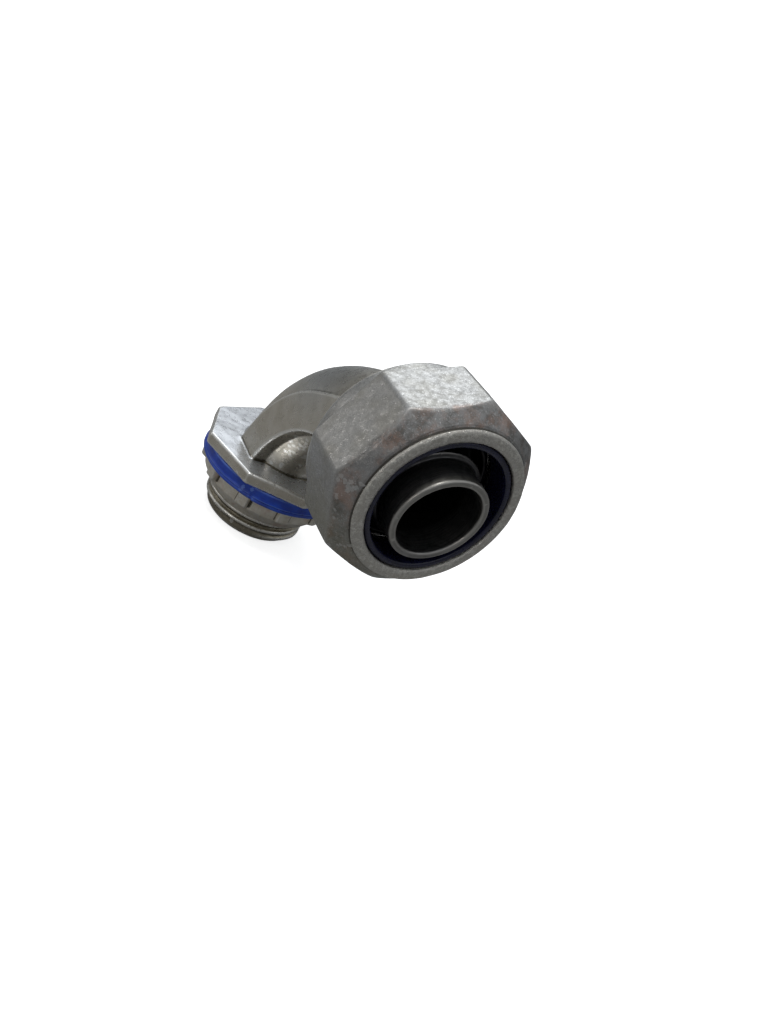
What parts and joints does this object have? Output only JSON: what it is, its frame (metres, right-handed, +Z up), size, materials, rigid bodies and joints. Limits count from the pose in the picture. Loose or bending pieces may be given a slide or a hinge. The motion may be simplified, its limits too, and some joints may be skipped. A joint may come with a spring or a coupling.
{
  "type": "conduit compression fitting",
  "caption": "Right-angle compression fitting for liquid-tight flexible conduit, with a gland nut, ferrule, box gasket and locknut.",
  "frame": {"origin": "on the axis of the threaded hub, in the plane where the wrench flange meets the box gasket", "axes": "+Z up along the hub's axis, away from the box; -Y out of the mouth of the gland nut, towards the conduit; +X to the right seen from the front, where the mouth is"},
  "size_m": [0.0352, 0.0638, 0.056],
  "materials": {
    "cast_zinc": "satin",
    "tumbled_zinc": "satin",
    "locknut_zinc": "satin",
    "plated_steel": "satin",
    "navy_nylon": "gloss",
    "blue_elastomer": "satin"
  },
  "bodies": {
    "body": {"body": "cast_zinc"},
    "box_gasket": {"box_gasket": "blue_elastomer"},
    "locknut": {"locknut": "locknut_zinc"},
    "seal_ring": {"seal_ring": "navy_nylon"},
    "ferrule": {"ferrule": "plated_steel"},
    "gland_nut": {"gland_nut": "tumbled_zinc"}
  },
  "joints": [
    {"name": "gland_travel", "type": "slide", "parent": "body", "child": "seal_ring", "axis": [0, -1, 0], "range_m": [-0.00045, 0.0063]},
    {"name": "gland_nut_turn", "type": "hinge", "parent": "seal_ring", "child": "gland_nut", "pos_m": [0, -0.038, 0.0248], "axis": [0, -1, 0], "range_deg": [-90, 1260]},
    {"name": "ferrule_rock", "type": "hinge", "parent": "seal_ring", "child": "ferrule", "pos_m": [0, -0.0362, 0.02455], "axis": [1, 0, 0], "range_deg": [-10, 0.5]},
    {"name": "locknut_travel", "type": "slide", "parent": "body", "child": "box_gasket", "axis": [0, 0, -1], "range_m": [0, 0.0063]},
    {"name": "locknut_turn", "type": "hinge", "parent": "box_gasket", "child": "locknut", "pos_m": [0, 0, -0.0057], "axis": [0, 0, -1], "range_deg": [0, 1260]}
  ],
  "couplings": [
    {"joint": "gland_travel", "follows": "gland_nut_turn", "m_per_rad": 0.00028648},
    {"joint": "locknut_travel", "follows": "locknut_turn", "m_per_rad": 0.00028648}
  ]
}
